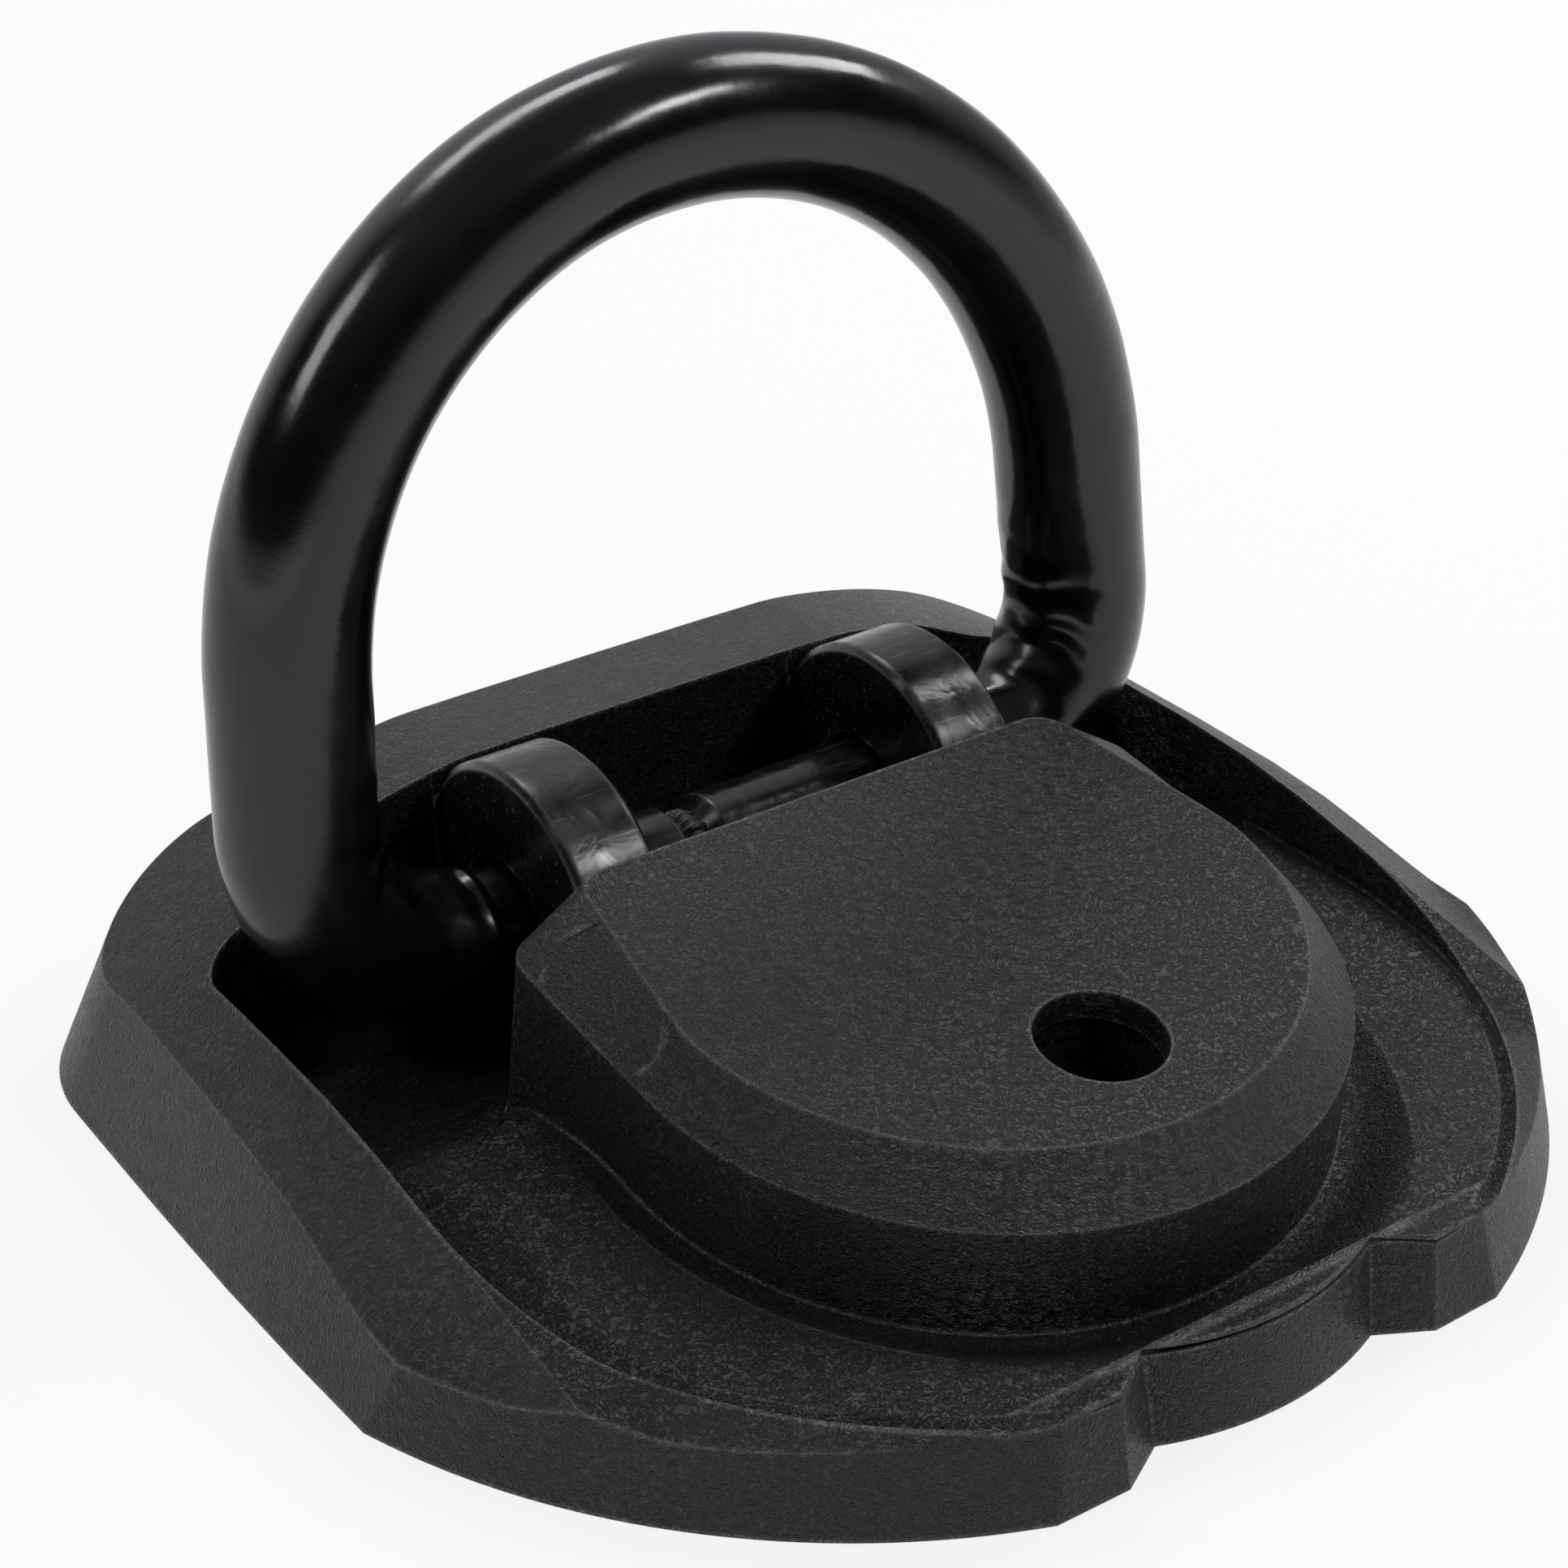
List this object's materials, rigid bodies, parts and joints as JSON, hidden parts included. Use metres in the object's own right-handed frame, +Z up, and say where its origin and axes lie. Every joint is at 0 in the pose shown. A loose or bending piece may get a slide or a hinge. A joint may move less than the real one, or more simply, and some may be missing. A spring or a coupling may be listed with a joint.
{
  "type": "ground anchor",
  "caption": "Low moulded cover over a steel base plate with welded lugs and a sleeved shackle that folds down around the raised boss.",
  "frame": {"origin": "on the ground in the plane of symmetry, under the lugs, 1 mm behind the shackle axis", "axes": "+X to the right along the shackle axis, +Y towards the raised back of the cover, +Z up from the ground"},
  "size_m": [0.172, 0.1563, 0.1259],
  "materials": {
    "cover_plastic": "fine moulded grain, satin",
    "plate_paint": "black paint, satin",
    "lug_paint": "black paint, half gloss, rubbed edges",
    "bead_paint": "black paint over weld ripples",
    "bar_paint": "black paint, gloss",
    "sleeve_plastic": "soft black plastic tube, gloss",
    "screw_steel": "zinc plated"
  },
  "bodies": {
    "base": {"cover": "cover_plastic", "base_plate": "plate_paint", "right_lug": "lug_paint", "left_lug": "lug_paint", "right_lug_weld": "bead_paint", "left_lug_weld": "bead_paint", "cover_screw": "screw_steel", "cover_washer": "screw_steel"},
    "shackle": {"shackle_bar": "bar_paint", "shackle_sleeve": "sleeve_plastic", "shackle_weld": "bead_paint"}
  },
  "joints": [
    {"name": "shackle_hinge", "type": "hinge", "parent": "base", "child": "shackle", "pos_m": [0, -0.001, 0.0203], "axis": [1, 0, 0], "range_deg": [0, 82]}
  ]
}
